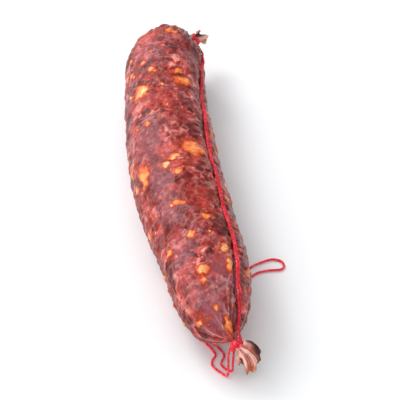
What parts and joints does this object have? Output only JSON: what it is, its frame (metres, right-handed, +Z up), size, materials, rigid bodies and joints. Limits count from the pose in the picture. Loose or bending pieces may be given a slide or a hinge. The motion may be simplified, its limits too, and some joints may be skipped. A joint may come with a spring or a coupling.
{
  "type": "cured sausage",
  "caption": "Cured sausage link in a wrinkled natural casing, tied with red twine at its necks, with twine along one side and a loose hanging loop at one neck.",
  "frame": {"origin": "on the flat spot that the link rests on, under its middle", "axes": "+Y along the link from its lower neck, with the tuft and the loose loop, to its upper neck; +Z up; +X towards the hollow side of its bend, where the side twine lies"},
  "size_m": [0.0641, 0.1913, 0.0354],
  "materials": {
    "casing": "cured meat and orange fat seen through a dry natural casing, satin",
    "twine": "red cotton twine, matte"
  },
  "bodies": {
    "root": {"casing": "casing", "side_twine_inner": "twine", "side_twine_outer": "twine", "lower_tie": "twine", "upper_tie": "twine", "loose_loop": "twine"}
  },
  "joints": []
}
